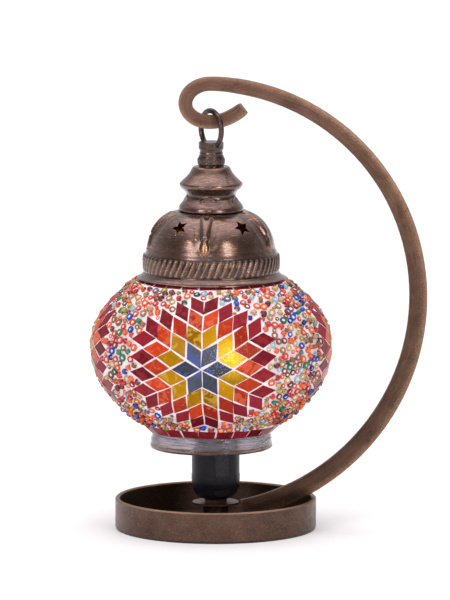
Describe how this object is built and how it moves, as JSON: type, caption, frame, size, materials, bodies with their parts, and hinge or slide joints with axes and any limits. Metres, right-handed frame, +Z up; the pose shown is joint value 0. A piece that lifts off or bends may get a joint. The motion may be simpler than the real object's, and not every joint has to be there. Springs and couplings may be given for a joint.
{
  "type": "mosaic glass table lamp",
  "caption": "Table lamp with a hanging mosaic glass globe on a swan-neck arm, over a bulb in a holder on a round open base.",
  "frame": {"origin": "centre of the base's felt underside, on the table", "axes": "+Z up, +X from the base's centre towards the bow of the arm, +Y to the back"},
  "size_m": [0.2351, 0.1696, 0.3162],
  "materials": {
    "antique_bronze": "antiqued, brushed, satin",
    "aged_copper": "spun sheet with dark patina, rubbed edges",
    "dark_bronze": "dark patina",
    "felt": "pressed felt",
    "bright_steel": "zinc plated",
    "yellow_brass": "turned",
    "black_plastic": "moulded, satin",
    "soft_rubber": "moulded",
    "ceramic": "heat-resistant insulator, matt",
    "nickel": "nickel-plated, rolled",
    "vitrite": "black glass insulator",
    "solder": "solder",
    "bulb_glass": "clear",
    "stem_glass": "clear",
    "filament": "yellow phosphor",
    "clear_glass": "blown, wavy",
    "grout": "white grout, matt",
    "blue_glass": "stained, textured",
    "yellow_glass": "stained, textured",
    "orange_glass": "stained, textured",
    "red_glass": "stained, textured",
    "bead_glass": "mixed seed beads"
  },
  "bodies": {
    "stand": {"base_ring": "antique_bronze", "base_floor": "dark_bronze", "base_felt": "felt", "swan_arm": "antique_bronze", "arm_foot": "dark_bronze", "foot_screws": "bright_steel", "cord_bush": "soft_rubber", "threaded_nipple": "yellow_brass", "lower_sleeve": "dark_bronze", "hub_washer": "antique_bronze", "lock_nut": "aged_copper", "holder_dome": "black_plastic", "holder_skirt": "black_plastic", "holder_core": "ceramic", "core_screws": "bright_steel", "screw_shell": "yellow_brass", "centre_contact": "yellow_brass"},
    "bulb_lift": {"bulb_tip": "solder"},
    "bulb": {"bulb_insulator": "vitrite", "bulb_cap": "nickel", "bulb_glass": "bulb_glass", "bulb_stem": "stem_glass", "bulb_filaments": "filament"},
    "link": {"link_ring": "antique_bronze"},
    "shade": {"finial": "aged_copper", "hanger_rod": "yellow_brass", "cap_crown": "aged_copper", "cap_dome": "aged_copper", "crown_nut": "yellow_brass", "centring_gasket": "soft_rubber", "globe_strap": "bright_steel", "strap_tips": "soft_rubber", "strap_nut": "yellow_brass", "glass_globe": "clear_glass", "grout_skin": "grout", "tiles_blue": "blue_glass", "tiles_yellow": "yellow_glass", "tiles_orange": "orange_glass", "tiles_red": "red_glass", "collar_tiles": "red_glass", "hem_tiles": "red_glass", "bead_layer": "bead_glass"}
  },
  "joints": [
    {"name": "link_swing", "type": "hinge", "parent": "stand", "child": "link", "pos_m": [-0.0031, 0, 0.2905], "axis": [1, 0, 0], "range_deg": [-2.5, 2.5]},
    {"name": "shade_swing", "type": "hinge", "parent": "link", "child": "shade", "pos_m": [-0.0031, 0, 0.2667], "axis": [0.4848, -0.8746, 0], "range_deg": [-2.5, 2.5]},
    {"name": "bulb_rise", "type": "slide", "parent": "stand", "child": "bulb_lift", "axis": [0, 0, 1], "range_m": [0, 0.0109]},
    {"name": "bulb_turn", "type": "hinge", "parent": "bulb_lift", "child": "bulb", "pos_m": [0, 0, 0.0449], "axis": [0, 0, 1], "range_deg": [0, 1080]}
  ],
  "couplings": [
    {"joint": "bulb_rise", "follows": "bulb_turn", "m_per_rad": 0.00057296}
  ]
}
